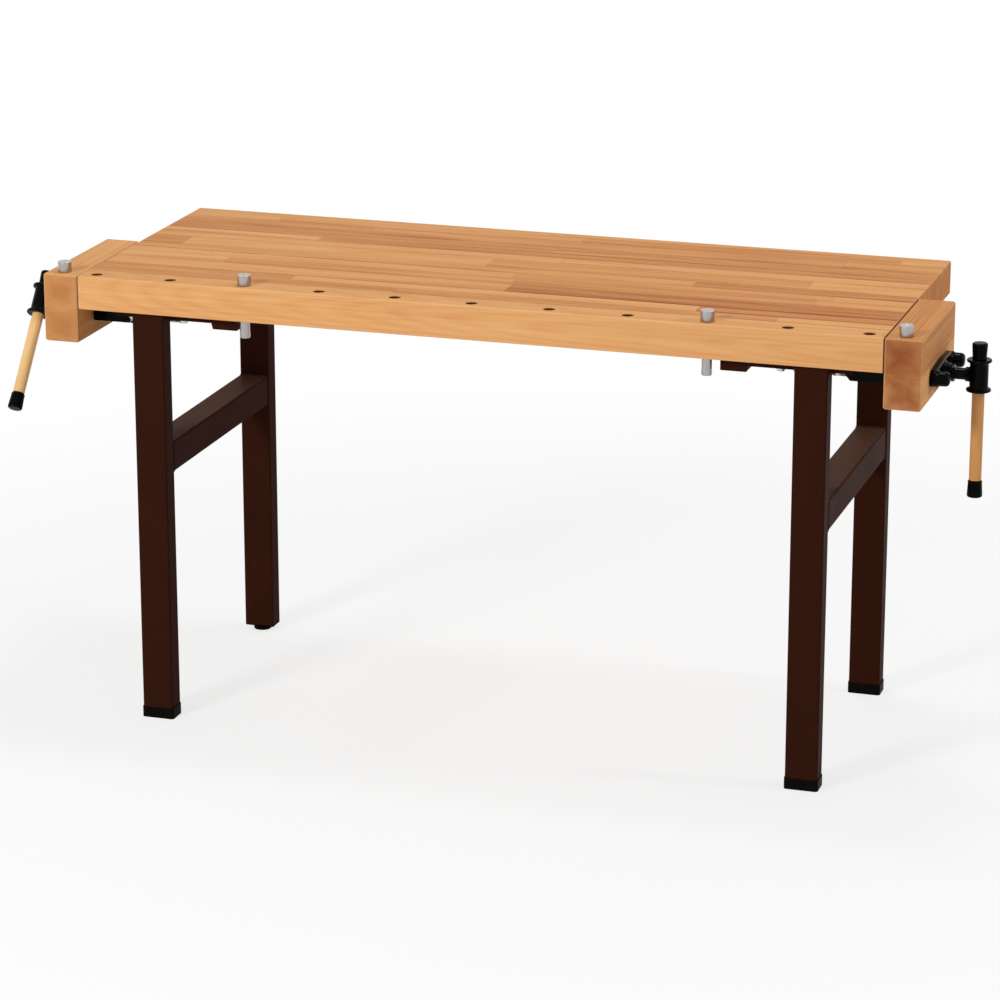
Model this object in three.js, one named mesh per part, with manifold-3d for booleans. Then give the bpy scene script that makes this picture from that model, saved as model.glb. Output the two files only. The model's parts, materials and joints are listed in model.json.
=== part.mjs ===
// A woodworking bench: laminated beech top with a row of dog holes, two steel end frames and two end vises.
// Millimetres, +Z up, +X to the right, front face towards -Y, origin on the floor under the middle of the top.
import * as THREE from "three";
import { mergeVertices } from "three/addons/utils/BufferGeometryUtils.js";
import Module from "manifold-3d";

const wasm = await Module();
wasm.setup();

// Worktop
const TOP_LENGTH = 1500;
const TOP_DEPTH = 600;
const TOP_THICK = 63;
const TOP_HEIGHT = 850;
const TOP_ARRIS = 2;
const DOG_END = 30;
const DOG_SIDE_COUNT = 5;
const DOG_INSET = 24;
const DOG_HOLE_R = 10;

// Bench dogs
const DOG_R = 9;
const DOG_TAIL_R = 9.6;
const DOG_HEAD_R = 12.4;
const DOG_HEAD_H = 20;
const DOG_REACH = 34;
const TOP_DOG_HOLE = 3;

// End frames
const LEG_X = 620;
const LEG_W = 60;
const LEG_D = 40;
const LEG_WALL = 2.5;
const LEG_CORNER = 4;
const LEG_INSET = 15;
const RAIL_W = 58;
const RAIL_H = 58;
const RAIL_Z = 475;
const ARM_REACH = 83;
const BEARER_W = 54;
const BEARER_SLANT = 7;
const BEARER_H = 27;
const BEARER_WALL = 3;
const ARM_INSET = 36;
const ARM_D = 20;
const ARM_H = 16;
const LUG_REACH = 40;
const ARM_BOLT_GAP = 30;
const LUG_BOLT_GAP = 10;

// Feet
const CAP_H = 21;
const CAP_FLOOR = 4;
const CAP_PROUD = 1.5;
const LEVEL_GAP = 12;
const PAD_R = 17.5;
const PAD_H = 8;
const PAD_SEAT = 4;
const LEVEL_R = 5;
const LEVEL_HEX_R = 8.5;
const LEVEL_TOP = 62;
const PLUG_H = 26;
const PLUG_RIM = 2;

// Bolts under the top
const BOLT_R = 4;
const BOLT_HEAD_R = 7.4;
const BOLT_HEAD_H = 5.5;
const BOLT_BITE = 28;

// Vises
const JAW_THICK = 67;
const JAW_DEPTH = 296;
const JAW_HEIGHT = 127;
const JAW_ARRIS = 3;
const JAW_DOG_OUT = 34;
const GUIDE_EDGE = 80;
const GUIDE_DROP = 86;
const GUIDE_R = 9;
const GUIDE_CLEAR = 68;
const SCREW_DROP = 92;
const SCREW_R = 10.5;
const SCREW_CLEAR = 53;
const FLANGE_THICK = 12;
const FLANGE_END_R = 15;
const FLANGE_MID_R = 25;
const BOSS_R = 13;
const BOSS_LENGTH = 23;
const GUIDE_SEAT = 27;
const COLLAR_R = 19;
const COLLAR_LENGTH = 12;
const SHOULDER_R = 15;
const SHOULDER_LENGTH = 6;
const RING_R = 15.5;
const RING_LENGTH = 11;
const RING_ROOM = 1.5;
const HUB_OUT = 140;
const HUB_R = 16.5;
const HUB_RIM_R = 22;
const HUB_HALF = 29;
const HUB_NECK_R = 13;
const HUB_NECK_LENGTH = 7;
const HUB_SEAT = 10.5;
const BAR_R = 11;
const BAR_TOTAL = 280;
const GRIP_LENGTH = 29;
const GRIP_SEAT = 20;
const GRIP_NARROW_R = 12.3;
const GRIP_WIDE_R = 14;
const LEFT_HANDLE_TILT = 38;
const RIGHT_HANDLE_TILT = 0;
const BRACKET_IN = 655;
const BRACKET_OUT = 748;
const BRACKET_PLATE = 8;
const BRACKET_MARGIN = 20;
const GUIDE_BLOCK_W = 28;
const GUIDE_BLOCK_WALL = 4;
const GUIDE_BLOCK_SLOPE = 23;
const NUT_W = 36;
const NUT_H = 34;
const NUT_LENGTH = 38;
const NUT_WALL = 6;
const NUT_BACK = 18;
const BRACKET_BOLT_IN = 17;
const BRACKET_BOLT_OUT = 18;

// Clearances and facets
const SEAT = 0.3;
const BORE_PLAY = 0.5;
const JAW_GAP = 0.6;
const FINE = 20;
const ROUND = 16;
const SMALL = 8;

const UNDER = TOP_HEIGHT - TOP_THICK;
const FRONT = -TOP_DEPTH / 2;
const TOP_END = TOP_LENGTH / 2;
const DOG_PITCH = (TOP_LENGTH - 2 * DOG_END) / (2 * DOG_SIDE_COUNT);
const JAW_IN = TOP_END + JAW_GAP;
const JAW_OUT = JAW_IN + JAW_THICK;
const FLANGE_IN = JAW_OUT + SEAT;
const FLANGE_OUT = FLANGE_IN + FLANGE_THICK;
const VISE_Y = FRONT + JAW_DEPTH / 2;
const GUIDE_Z = TOP_HEIGHT - GUIDE_DROP;
const SCREW_Z = TOP_HEIGHT - SCREW_DROP;
const GUIDE_SPREAD = JAW_DEPTH - 2 * GUIDE_EDGE;
const GUIDE_YS = [VISE_Y - GUIDE_SPREAD / 2, VISE_Y + GUIDE_SPREAD / 2];
const DOG_Y = FRONT + DOG_INSET;
const HUB_X = TOP_END + HUB_OUT;
const LEG_YS = [FRONT + LEG_INSET + LEG_D / 2, -FRONT - LEG_INSET - LEG_D / 2];
const ARM_YS = [FRONT + ARM_INSET + ARM_D / 2, -FRONT - ARM_INSET - ARM_D / 2];
const BEARER_OUT = LEG_X - LEG_W / 2 - ARM_REACH;
const BEARER_IN = BEARER_OUT - BEARER_W;
const GUIDE_IN = BEARER_OUT + GUIDE_CLEAR;
const SCREW_IN = BEARER_OUT + SCREW_CLEAR;
const ARM_BOLT_X = LEG_X - LEG_W / 2 - ARM_BOLT_GAP;
const LUG_BOLT_X = LEG_X + LEG_W / 2 + LUG_BOLT_GAP;
const BRACKET_BOLT_XS = [BRACKET_IN + BRACKET_BOLT_IN, BRACKET_OUT - BRACKET_BOLT_OUT];
const NUT_HOUSE_W = NUT_W + 2 * NUT_WALL;
const BRACKET_BOLT_OFF = (GUIDE_SPREAD / 2 - GUIDE_BLOCK_W / 2 + NUT_HOUSE_W / 2) / 2;
const BRACKET_BOLT_YS = [VISE_Y - BRACKET_BOLT_OFF, VISE_Y + BRACKET_BOLT_OFF];

const X_AXIS = new THREE.Vector3(1, 0, 0);
const Y_AXIS = new THREE.Vector3(0, 1, 0);
const Z_AXIS = new THREE.Vector3(0, 0, 1);
const ALONG_X = new THREE.Matrix4().makeBasis(Y_AXIS, Z_AXIS, X_AXIS);
const ALONG_Y = new THREE.Matrix4().makeBasis(X_AXIS, Z_AXIS, Y_AXIS.clone().negate());

// A three.js geometry as a solid for cutting and joining.
function solid(geometry) {
  const flat = geometry.index ? geometry.toNonIndexed() : geometry;
  const bare = new THREE.BufferGeometry();
  bare.setAttribute("position", flat.getAttribute("position"));
  const merged = mergeVertices(bare, 1e-4);
  return new wasm.Manifold(
    new wasm.Mesh({
      numProp: 3,
      vertProperties: merged.attributes.position.array,
      triVerts: new Uint32Array(merged.index.array),
    }),
  );
}

// A cut or joined solid back as a three.js geometry.
function geometryOf(body) {
  const mesh = body.getMesh();
  const made = new THREE.BufferGeometry();
  made.setAttribute("position", new THREE.BufferAttribute(mesh.vertProperties, 3));
  made.setIndex(new THREE.BufferAttribute(mesh.triVerts, 1));
  const flat = made.toNonIndexed();
  flat.computeVertexNormals();
  return flat;
}

// A straight-sided block between two corners.
function block(x0, x1, y0, y1, z0, z1) {
  const made = new THREE.BoxGeometry(x1 - x0, y1 - y0, z1 - z0);
  return made.translate((x0 + x1) / 2, (y0 + y1) / 2, (z0 + z1) / 2);
}

// A round bar along X, and one along Z.
function barX(r, x0, x1, y, z, facets) {
  const made = new THREE.CylinderGeometry(r, r, x1 - x0, facets);
  return made.rotateZ(-Math.PI / 2).translate((x0 + x1) / 2, y, z);
}

function barZ(r, z0, z1, x, y, facets) {
  const made = new THREE.CylinderGeometry(r, r, z1 - z0, facets);
  return made.rotateX(Math.PI / 2).translate(x, y, (z0 + z1) / 2);
}

// A turned piece about Z from points of radius and height.
function turned(points, facets) {
  const profile = points.map(([r, h]) => new THREE.Vector2(r, h));
  return new THREE.LatheGeometry(profile, facets).rotateX(Math.PI / 2);
}

// The same turned piece laid along X.
function turnedX(points, facets) {
  return turned(points, facets).rotateY(Math.PI / 2);
}

// The corner points of a rectangle whose corners are rounded in short steps.
function roundedRect(w, d, r, steps) {
  const points = [];
  const centres = [
    [w / 2 - r, d / 2 - r],
    [r - w / 2, d / 2 - r],
    [r - w / 2, r - d / 2],
    [w / 2 - r, r - d / 2],
  ];
  centres.forEach(([x, y], corner) => {
    for (let i = 0; i <= steps; i++) {
      const a = ((corner + i / steps) * Math.PI) / 2;
      points.push(new THREE.Vector2(x + r * Math.cos(a), y + r * Math.sin(a)));
    }
  });
  return points;
}

// The points of a circle.
function circle(x, y, r, facets) {
  const points = [];
  for (let i = 0; i < facets; i++) {
    const a = ((i + 0.5) / facets) * 2 * Math.PI;
    points.push(new THREE.Vector2(x + r * Math.cos(a), y + r * Math.sin(a)));
  }
  return points;
}

// The tight outline around a list of points, taken counter-clockwise.
function outlineAround(points) {
  const sorted = [...points].sort((a, b) => a.x - b.x || a.y - b.y);
  const turn = (a, b, c) => (b.x - a.x) * (c.y - a.y) - (b.y - a.y) * (c.x - a.x);
  const half = (list) => {
    const kept = [];
    for (const p of list) {
      while (kept.length > 1 && turn(kept[kept.length - 2], kept[kept.length - 1], p) <= 0) {
        kept.pop();
      }
      kept.push(p);
    }
    kept.pop();
    return kept;
  };
  return [...half(sorted), ...half(sorted.reverse())];
}

// A flat outline, with any holes, drawn out to a depth. An arris breaks the edges of both faces.
function drawn(outline, depth, arris = 0, holes = []) {
  const shape = new THREE.Shape(outline);
  shape.holes = holes.map((points) => new THREE.Path(points));
  const made = new THREE.ExtrudeGeometry(shape, {
    depth: depth - 2 * arris,
    bevelEnabled: arris > 0,
    bevelThickness: arris,
    bevelSize: arris,
    bevelOffset: -arris,
    bevelSegments: 1,
    steps: 1,
  });
  return made.translate(0, 0, arris);
}

// A solid block with every edge broken by the same small flat.
function easedBlock(x0, x1, y0, y1, z0, z1, arris) {
  const outline = roundedRect(x1 - x0, y1 - y0, arris, 1);
  return drawn(outline, z1 - z0, arris).translate((x0 + x1) / 2, (y0 + y1) / 2, z0);
}

const WOOD = { color: 0xd7a06e, roughness: 0.5, metalness: 0 };
const JAW_WOOD = { color: 0xc98f58, roughness: 0.5, metalness: 0 };
const HANDLE_WOOD = { color: 0xe1aa69, roughness: 0.45, metalness: 0 };
const BROWN = { color: 0x3a1e14, roughness: 0.45, metalness: 0.1 };
const BLACK_IRON = { color: 0x161616, roughness: 0.35, metalness: 0.3 };
const BLACK_PLASTIC = { color: 0x121212, roughness: 0.4, metalness: 0 };
const STEEL = { color: 0xa8a8a8, roughness: 0.35, metalness: 0.9 };
const ZINC = { color: 0xb8b8b0, roughness: 0.4, metalness: 0.9 };
const SATIN = { color: 0xd0cdc8, roughness: 0.35, metalness: 0.9 };
const BRONZE = { color: 0xa37a3e, roughness: 0.4, metalness: 0.9 };

const bench = new THREE.Group();
bench.name = "woodworking_bench";

// Adds one named piece. A piece of the left side is the right one mirrored across the middle.
function add(name, geometry, look, mirrored = false) {
  const mesh = new THREE.Mesh(geometry, new THREE.MeshStandardMaterial(look));
  mesh.name = name;
  mesh.scale.x = mirrored ? -1 : 1;
  bench.add(mesh);
}

// The laminated top with its dog holes and the pilot holes for every bolt below it.
function worktop() {
  const holes = [];
  for (let k = -DOG_SIDE_COUNT; k <= DOG_SIDE_COUNT; k++) {
    holes.push(circle(k * DOG_PITCH, DOG_Y, DOG_HOLE_R, ROUND));
  }
  const outline = roundedRect(TOP_LENGTH, TOP_DEPTH, TOP_ARRIS, 1);
  let body = solid(drawn(outline, TOP_THICK, TOP_ARRIS, holes).translate(0, 0, UNDER));
  const pilots = [];
  for (const x of [ARM_BOLT_X, LUG_BOLT_X]) {
    for (const y of ARM_YS) {
      pilots.push([x, y]);
    }
  }
  for (const x of BRACKET_BOLT_XS) {
    for (const y of BRACKET_BOLT_YS) {
      pilots.push([x, y]);
    }
  }
  const depth = BOLT_BITE + 2 * SEAT;
  for (const [x, y] of pilots) {
    for (const side of [-1, 1]) {
      const bore = barZ(BOLT_R + BORE_PLAY, UNDER - 1, UNDER + depth, side * x, y, SMALL);
      body = body.subtract(solid(bore));
    }
  }
  return geometryOf(body);
}

// A hex bolt whose head sits under a plate and whose shank bites into the top.
function bolt(x, y, plateUnder) {
  const headTop = plateUnder - SEAT;
  const head = barZ(BOLT_HEAD_R, headTop - BOLT_HEAD_H, headTop, x, y, 6);
  const shank = barZ(BOLT_R, headTop - 1, UNDER + BOLT_BITE, x, y, SMALL);
  return geometryOf(solid(head).add(solid(shank)));
}

// A leg tube with the short lug on its outer side that is bolted to the top.
function leg(y, armY, foot) {
  const tube = drawn(roundedRect(LEG_W, LEG_D, LEG_CORNER, 3), UNDER - SEAT - foot, 0, [
    roundedRect(LEG_W - 2 * LEG_WALL, LEG_D - 2 * LEG_WALL, LEG_CORNER - LEG_WALL, 1),
  ]).translate(LEG_X, y, foot);
  const side = LEG_X + LEG_W / 2;
  const lug = block(
    side - LEG_WALL / 2,
    side + LUG_REACH,
    armY - ARM_D / 2,
    armY + ARM_D / 2,
    UNDER - ARM_H,
    UNDER - SEAT,
  );
  const bore = barZ(BOLT_R + BORE_PLAY, UNDER - ARM_H - 1, UNDER, LUG_BOLT_X, armY, SMALL);
  return geometryOf(solid(tube).add(solid(lug)).subtract(solid(bore)));
}

// The square tube that ties a front leg to the back leg behind it.
function sideRail() {
  const length = LEG_YS[1] - LEG_YS[0] - LEG_D - 2 * SEAT;
  const made = drawn(roundedRect(RAIL_W, RAIL_H, LEG_CORNER, 3), length, 0, [
    roundedRect(RAIL_W - 2 * LEG_WALL, RAIL_H - 2 * LEG_WALL, LEG_CORNER - LEG_WALL, 1),
  ]);
  return made.applyMatrix4(ALONG_Y).translate(LEG_X, length / 2, RAIL_Z + RAIL_H / 2);
}

// The pressed channel across the underside with one slanted wall, and its arms out to both legs.
function topBearer() {
  const low = UNDER - BEARER_H;
  const span = TOP_DEPTH - 2 * ARM_INSET;
  const profile = (wall, top) => {
    const rise = top - low;
    return [
      new THREE.Vector2(BEARER_IN + wall, low + wall),
      new THREE.Vector2(BEARER_OUT - BEARER_SLANT - wall, low + wall),
      new THREE.Vector2(BEARER_OUT - BEARER_SLANT + (BEARER_SLANT * rise) / BEARER_H - wall, top),
      new THREE.Vector2(BEARER_IN + wall, top),
    ];
  };
  const lay = (points, length) =>
    solid(drawn(points, length).applyMatrix4(ALONG_Y).translate(0, length / 2, 0));
  const inside = lay(profile(BEARER_WALL, UNDER + 2), span - 2 * BEARER_WALL);
  let body = lay(profile(0, UNDER - SEAT), span).subtract(inside);
  for (const y of ARM_YS) {
    const arm = block(
      BEARER_OUT - BEARER_WALL,
      LEG_X - LEG_W / 2 - SEAT,
      y - ARM_D / 2,
      y + ARM_D / 2,
      UNDER - ARM_H,
      UNDER - SEAT,
    );
    const bore = barZ(BOLT_R + BORE_PLAY, UNDER - ARM_H - 1, UNDER, ARM_BOLT_X, y, SMALL);
    body = body.add(solid(arm)).subtract(solid(bore));
  }
  return geometryOf(body);
}

// The moulded cap around the foot of a leg.
function footCap(y) {
  const w = LEG_W + 2 * CAP_PROUD;
  const d = LEG_D + 2 * CAP_PROUD;
  const outer = drawn(roundedRect(w, d, LEG_CORNER + CAP_PROUD, 3), CAP_H);
  const pocket = roundedRect(LEG_W + 2 * SEAT, LEG_D + 2 * SEAT, LEG_CORNER + SEAT, 3);
  const room = drawn(pocket, CAP_H).translate(0, 0, CAP_FLOOR);
  return geometryOf(solid(outer).subtract(solid(room))).translate(LEG_X, y, 0);
}

// The plug with a thread for the levelling screw, pushed into the end of a leg.
function levelPlug(y) {
  const rim = drawn(roundedRect(LEG_W, LEG_D, LEG_CORNER, 3), PLUG_RIM);
  const w = LEG_W - 2 * LEG_WALL - 2 * SEAT;
  const d = LEG_D - 2 * LEG_WALL - 2 * SEAT;
  const plug = drawn(roundedRect(w, d, LEG_CORNER - LEG_WALL, 1), PLUG_H);
  const bore = barZ(LEVEL_R + BORE_PLAY, -1, PLUG_H + 1, 0, 0, ROUND);
  const body = solid(rim).add(solid(plug)).subtract(solid(bore));
  return geometryOf(body).translate(LEG_X, y, LEVEL_GAP - PLUG_RIM);
}

// The round pad on the floor, with the seat in which the levelling screw turns.
function levelPad(y) {
  const seat = LEVEL_R + BORE_PLAY;
  const points = [
    [0, 0],
    [PAD_R - 1.5, 0],
    [PAD_R, 1.5],
    [PAD_R, PAD_H - 3],
    [PAD_R - 5, PAD_H],
    [seat, PAD_H],
    [seat, PAD_H - PAD_SEAT],
    [0, PAD_H - PAD_SEAT],
  ];
  return turned(points, FINE).translate(LEG_X, y, 0);
}

// The levelling screw with the thin hexagon by which it is turned.
function levelScrew(y) {
  const stem = barZ(LEVEL_R, PAD_H - PAD_SEAT + SEAT, LEVEL_TOP, LEG_X, y, ROUND);
  const rim = LEVEL_GAP - PLUG_RIM - SEAT;
  const hex = barZ(LEVEL_HEX_R, PAD_H + SEAT, rim, LEG_X, y, 6);
  return geometryOf(solid(stem).add(solid(hex)));
}

// A round bench dog standing in a hole whose mouth is at the worktop's surface.
function dog(x) {
  const tail = -TOP_THICK - DOG_REACH;
  const points = [
    [0, tail],
    [DOG_R, tail],
    [DOG_TAIL_R, tail + 2],
    [DOG_R, tail + 16],
    [DOG_R, SEAT],
    [DOG_HEAD_R, SEAT],
    [DOG_HEAD_R, DOG_HEAD_H - 1],
    [DOG_HEAD_R - 1, DOG_HEAD_H],
    [0, DOG_HEAD_H],
  ];
  return turned(points, ROUND).translate(x, DOG_Y, TOP_HEIGHT);
}

// The wooden jaw with its dog hole, guide holes, screw hole and the recess of the retaining ring.
function jaw() {
  let body = solid(
    easedBlock(JAW_IN, JAW_OUT, FRONT, FRONT + JAW_DEPTH, TOP_HEIGHT - JAW_HEIGHT, TOP_HEIGHT, JAW_ARRIS),
  );
  const dogX = TOP_END + JAW_DOG_OUT;
  const under = TOP_HEIGHT - JAW_HEIGHT - 1;
  body = body.subtract(solid(barZ(DOG_HOLE_R, under, TOP_HEIGHT + 1, dogX, DOG_Y, ROUND)));
  for (const y of GUIDE_YS) {
    body = body.subtract(solid(barX(GUIDE_R + BORE_PLAY, JAW_IN - 1, JAW_OUT + 1, y, GUIDE_Z, ROUND)));
  }
  const passage = barX(SCREW_R + BORE_PLAY, JAW_IN - 1, JAW_OUT + 1, VISE_Y, SCREW_Z, ROUND);
  const recessIn = JAW_OUT - RING_LENGTH - RING_ROOM;
  const recess = barX(RING_R + RING_ROOM, recessIn, JAW_OUT + 1, VISE_Y, SCREW_Z, ROUND);
  return geometryOf(body.subtract(solid(passage)).subtract(solid(recess)));
}

// The cast flange: plate, two domed guide sockets and the stepped collar around the screw.
function flange() {
  const outline = outlineAround([
    ...circle(GUIDE_YS[0], GUIDE_Z, FLANGE_END_R, ROUND),
    ...circle(VISE_Y, SCREW_Z, FLANGE_MID_R, FINE),
    ...circle(GUIDE_YS[1], GUIDE_Z, FLANGE_END_R, ROUND),
  ]);
  const plate = drawn(outline, FLANGE_THICK, 1.5).applyMatrix4(ALONG_X);
  let body = solid(plate.translate(FLANGE_IN, 0, 0));
  const dome = [
    [0, 0],
    [BOSS_R, 0],
    [BOSS_R, BOSS_LENGTH - 8],
    [BOSS_R - 1.5, BOSS_LENGTH - 3.5],
    [BOSS_R - 5, BOSS_LENGTH - 0.8],
    [0, BOSS_LENGTH],
  ];
  for (const y of GUIDE_YS) {
    const boss = turnedX(dome, ROUND).translate(FLANGE_OUT - 1, y, GUIDE_Z);
    body = body.add(solid(boss));
  }
  const collar = [
    [0, 0],
    [COLLAR_R, 0],
    [COLLAR_R, COLLAR_LENGTH - 6],
    [COLLAR_R - 2.5, COLLAR_LENGTH - 5],
    [COLLAR_R - 2.5, COLLAR_LENGTH],
    [0, COLLAR_LENGTH],
  ];
  body = body.add(solid(turnedX(collar, FINE).translate(FLANGE_OUT - 1, VISE_Y, SCREW_Z)));
  for (const y of GUIDE_YS) {
    const seat = barX(GUIDE_R + BORE_PLAY, FLANGE_IN - 1, FLANGE_IN + GUIDE_SEAT + SEAT, y, GUIDE_Z, ROUND);
    body = body.subtract(solid(seat));
  }
  const bore = barX(SCREW_R + BORE_PLAY, FLANGE_IN - 1, FLANGE_OUT + COLLAR_LENGTH, VISE_Y, SCREW_Z, ROUND);
  return geometryOf(body.subtract(solid(bore)));
}

// The vise screw: plain shaft with a thrust shoulder outside the collar and a seat in the hub.
function viseScrew() {
  const shoulder = FLANGE_OUT - 1 + COLLAR_LENGTH + SEAT;
  const end = HUB_X - HUB_R - HUB_NECK_LENGTH + HUB_SEAT - SEAT;
  const points = [
    [0, SCREW_IN],
    [SCREW_R - 2, SCREW_IN],
    [SCREW_R, SCREW_IN + 2],
    [SCREW_R, shoulder],
    [SHOULDER_R, shoulder],
    [SHOULDER_R, shoulder + SHOULDER_LENGTH],
    [SCREW_R, shoulder + SHOULDER_LENGTH],
    [SCREW_R, end],
    [0, end],
  ];
  return turnedX(points, ROUND).translate(0, VISE_Y, SCREW_Z);
}

// The ring pinned on the screw behind the flange, which draws the jaw back out.
function retainingRing() {
  const bore = SCREW_R + BORE_PLAY;
  const x0 = JAW_OUT - RING_LENGTH - SEAT;
  const points = [
    [bore, x0],
    [RING_R, x0],
    [RING_R, JAW_OUT - SEAT],
    [bore, JAW_OUT - SEAT],
    [bore, x0],
  ];
  return turnedX(points, ROUND).translate(0, VISE_Y, SCREW_Z);
}

// Turns a piece made about the handle's own axis to its tilt and sets it at the hub.
function atHub(geometry, tilt) {
  return geometry.rotateX(-THREE.MathUtils.degToRad(tilt)).translate(HUB_X, VISE_Y, SCREW_Z);
}

// The hub: a barrel with flared rims that the handle slides through, on a short neck for the screw.
function hub(tilt) {
  const points = [
    [0, -HUB_HALF],
    [HUB_RIM_R - 2.5, -HUB_HALF],
    [HUB_RIM_R, -HUB_HALF + 2.5],
    [HUB_RIM_R - 1, -HUB_HALF + 6],
    [HUB_R, -HUB_HALF + 11],
    [HUB_R, HUB_HALF - 11],
    [HUB_RIM_R - 1, HUB_HALF - 6],
    [HUB_RIM_R, HUB_HALF - 2.5],
    [HUB_RIM_R - 2.5, HUB_HALF],
    [0, HUB_HALF],
  ];
  const neckIn = -HUB_R - HUB_NECK_LENGTH;
  const neck = barX(HUB_NECK_R, neckIn, -BAR_R, 0, 0, ROUND);
  const seat = barX(SCREW_R + BORE_PLAY, neckIn - 1, neckIn + HUB_SEAT, 0, 0, ROUND);
  const eye = barZ(BAR_R + BORE_PLAY, -HUB_HALF - 1, HUB_HALF + 1, 0, 0, FINE);
  const barrel = solid(turned(points, FINE)).add(solid(neck));
  return atHub(geometryOf(barrel.subtract(solid(seat)).subtract(solid(eye))), tilt);
}

// The wooden handle, hanging with its upper grip on the hub.
function handleBar(tilt) {
  const top = HUB_HALF + SEAT + GRIP_SEAT - SEAT;
  const low = HUB_HALF + SEAT + GRIP_LENGTH - BAR_TOTAL + GRIP_LENGTH - GRIP_SEAT + SEAT;
  return atHub(barZ(BAR_R, low, top, 0, 0, ROUND), tilt);
}

// The tapered grip pushed on an end of the handle: its socket faces the hub.
function handleGrip(tilt, upper) {
  const bore = BAR_R + BORE_PLAY;
  const points = [
    [0, GRIP_SEAT],
    [bore, GRIP_SEAT],
    [bore, 0],
    [GRIP_NARROW_R, 0],
    [GRIP_WIDE_R, GRIP_LENGTH - 4],
    [GRIP_WIDE_R - 1, GRIP_LENGTH - 1.2],
    [GRIP_WIDE_R - 4, GRIP_LENGTH],
    [0, GRIP_LENGTH],
  ];
  const made = turned(points, ROUND);
  const top = HUB_HALF + SEAT + GRIP_LENGTH;
  if (upper) {
    return atHub(made.translate(0, 0, HUB_HALF + SEAT), tilt);
  }
  return atHub(made.rotateX(Math.PI).translate(0, 0, top - BAR_TOTAL + GRIP_LENGTH), tilt);
}

// The casting under the end of the top: plate, two slanted guide blocks and the nut housing.
function bracket() {
  const y0 = GUIDE_YS[0] - BRACKET_MARGIN;
  const y1 = GUIDE_YS[1] + BRACKET_MARGIN;
  const plateLow = UNDER - BRACKET_PLATE;
  let body = solid(block(BRACKET_IN, BRACKET_OUT, y0, y1, plateLow, UNDER - SEAT));
  const blockLow = GUIDE_Z - GUIDE_R - GUIDE_BLOCK_WALL;
  const side = [
    new THREE.Vector2(BRACKET_IN + GUIDE_BLOCK_SLOPE, blockLow),
    new THREE.Vector2(BRACKET_OUT, blockLow),
    new THREE.Vector2(BRACKET_OUT, plateLow + 1),
    new THREE.Vector2(BRACKET_IN, plateLow + 1),
  ];
  for (const y of GUIDE_YS) {
    const guide = drawn(side, GUIDE_BLOCK_W).applyMatrix4(ALONG_Y);
    body = body.add(solid(guide.translate(0, y + GUIDE_BLOCK_W / 2, 0)));
  }
  const nutOut = BRACKET_OUT - NUT_BACK;
  const nutIn = nutOut - NUT_LENGTH;
  const half = NUT_HOUSE_W / 2;
  const houseLow = SCREW_Z - NUT_H / 2 - NUT_WALL;
  const house = block(nutIn - NUT_WALL, nutOut + NUT_WALL, VISE_Y - half, VISE_Y + half, houseLow, plateLow + 1);
  const room = block(
    nutIn - NUT_WALL - 1,
    nutOut + SEAT,
    VISE_Y - NUT_W / 2 - SEAT,
    VISE_Y + NUT_W / 2 + SEAT,
    SCREW_Z - NUT_H / 2 - SEAT,
    SCREW_Z + NUT_H / 2 + SEAT,
  );
  body = body.add(solid(house)).subtract(solid(room));
  const bore = barX(SCREW_R + 2 * BORE_PLAY, BRACKET_IN, BRACKET_OUT + 1, VISE_Y, SCREW_Z, ROUND);
  body = body.subtract(solid(bore));
  for (const y of GUIDE_YS) {
    const slide = barX(GUIDE_R + BORE_PLAY, BRACKET_IN - 1, BRACKET_OUT + 1, y, GUIDE_Z, ROUND);
    body = body.subtract(solid(slide));
  }
  for (const x of BRACKET_BOLT_XS) {
    for (const y of BRACKET_BOLT_YS) {
      body = body.subtract(solid(barZ(BOLT_R + BORE_PLAY, plateLow - 1, UNDER + 1, x, y, SMALL)));
    }
  }
  return geometryOf(body);
}

// The nut that holds the screw, kept from turning by its square sides.
function viseNut() {
  const out = BRACKET_OUT - NUT_BACK;
  const y0 = VISE_Y - NUT_W / 2;
  const z0 = SCREW_Z - NUT_H / 2;
  const body = solid(easedBlock(out - NUT_LENGTH, out, y0, y0 + NUT_W, z0, z0 + NUT_H, 2));
  const bore = barX(SCREW_R + BORE_PLAY, out - NUT_LENGTH - 1, out + 1, VISE_Y, SCREW_Z, ROUND);
  return geometryOf(body.subtract(solid(bore)));
}

add("worktop", worktop(), WOOD);

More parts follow.
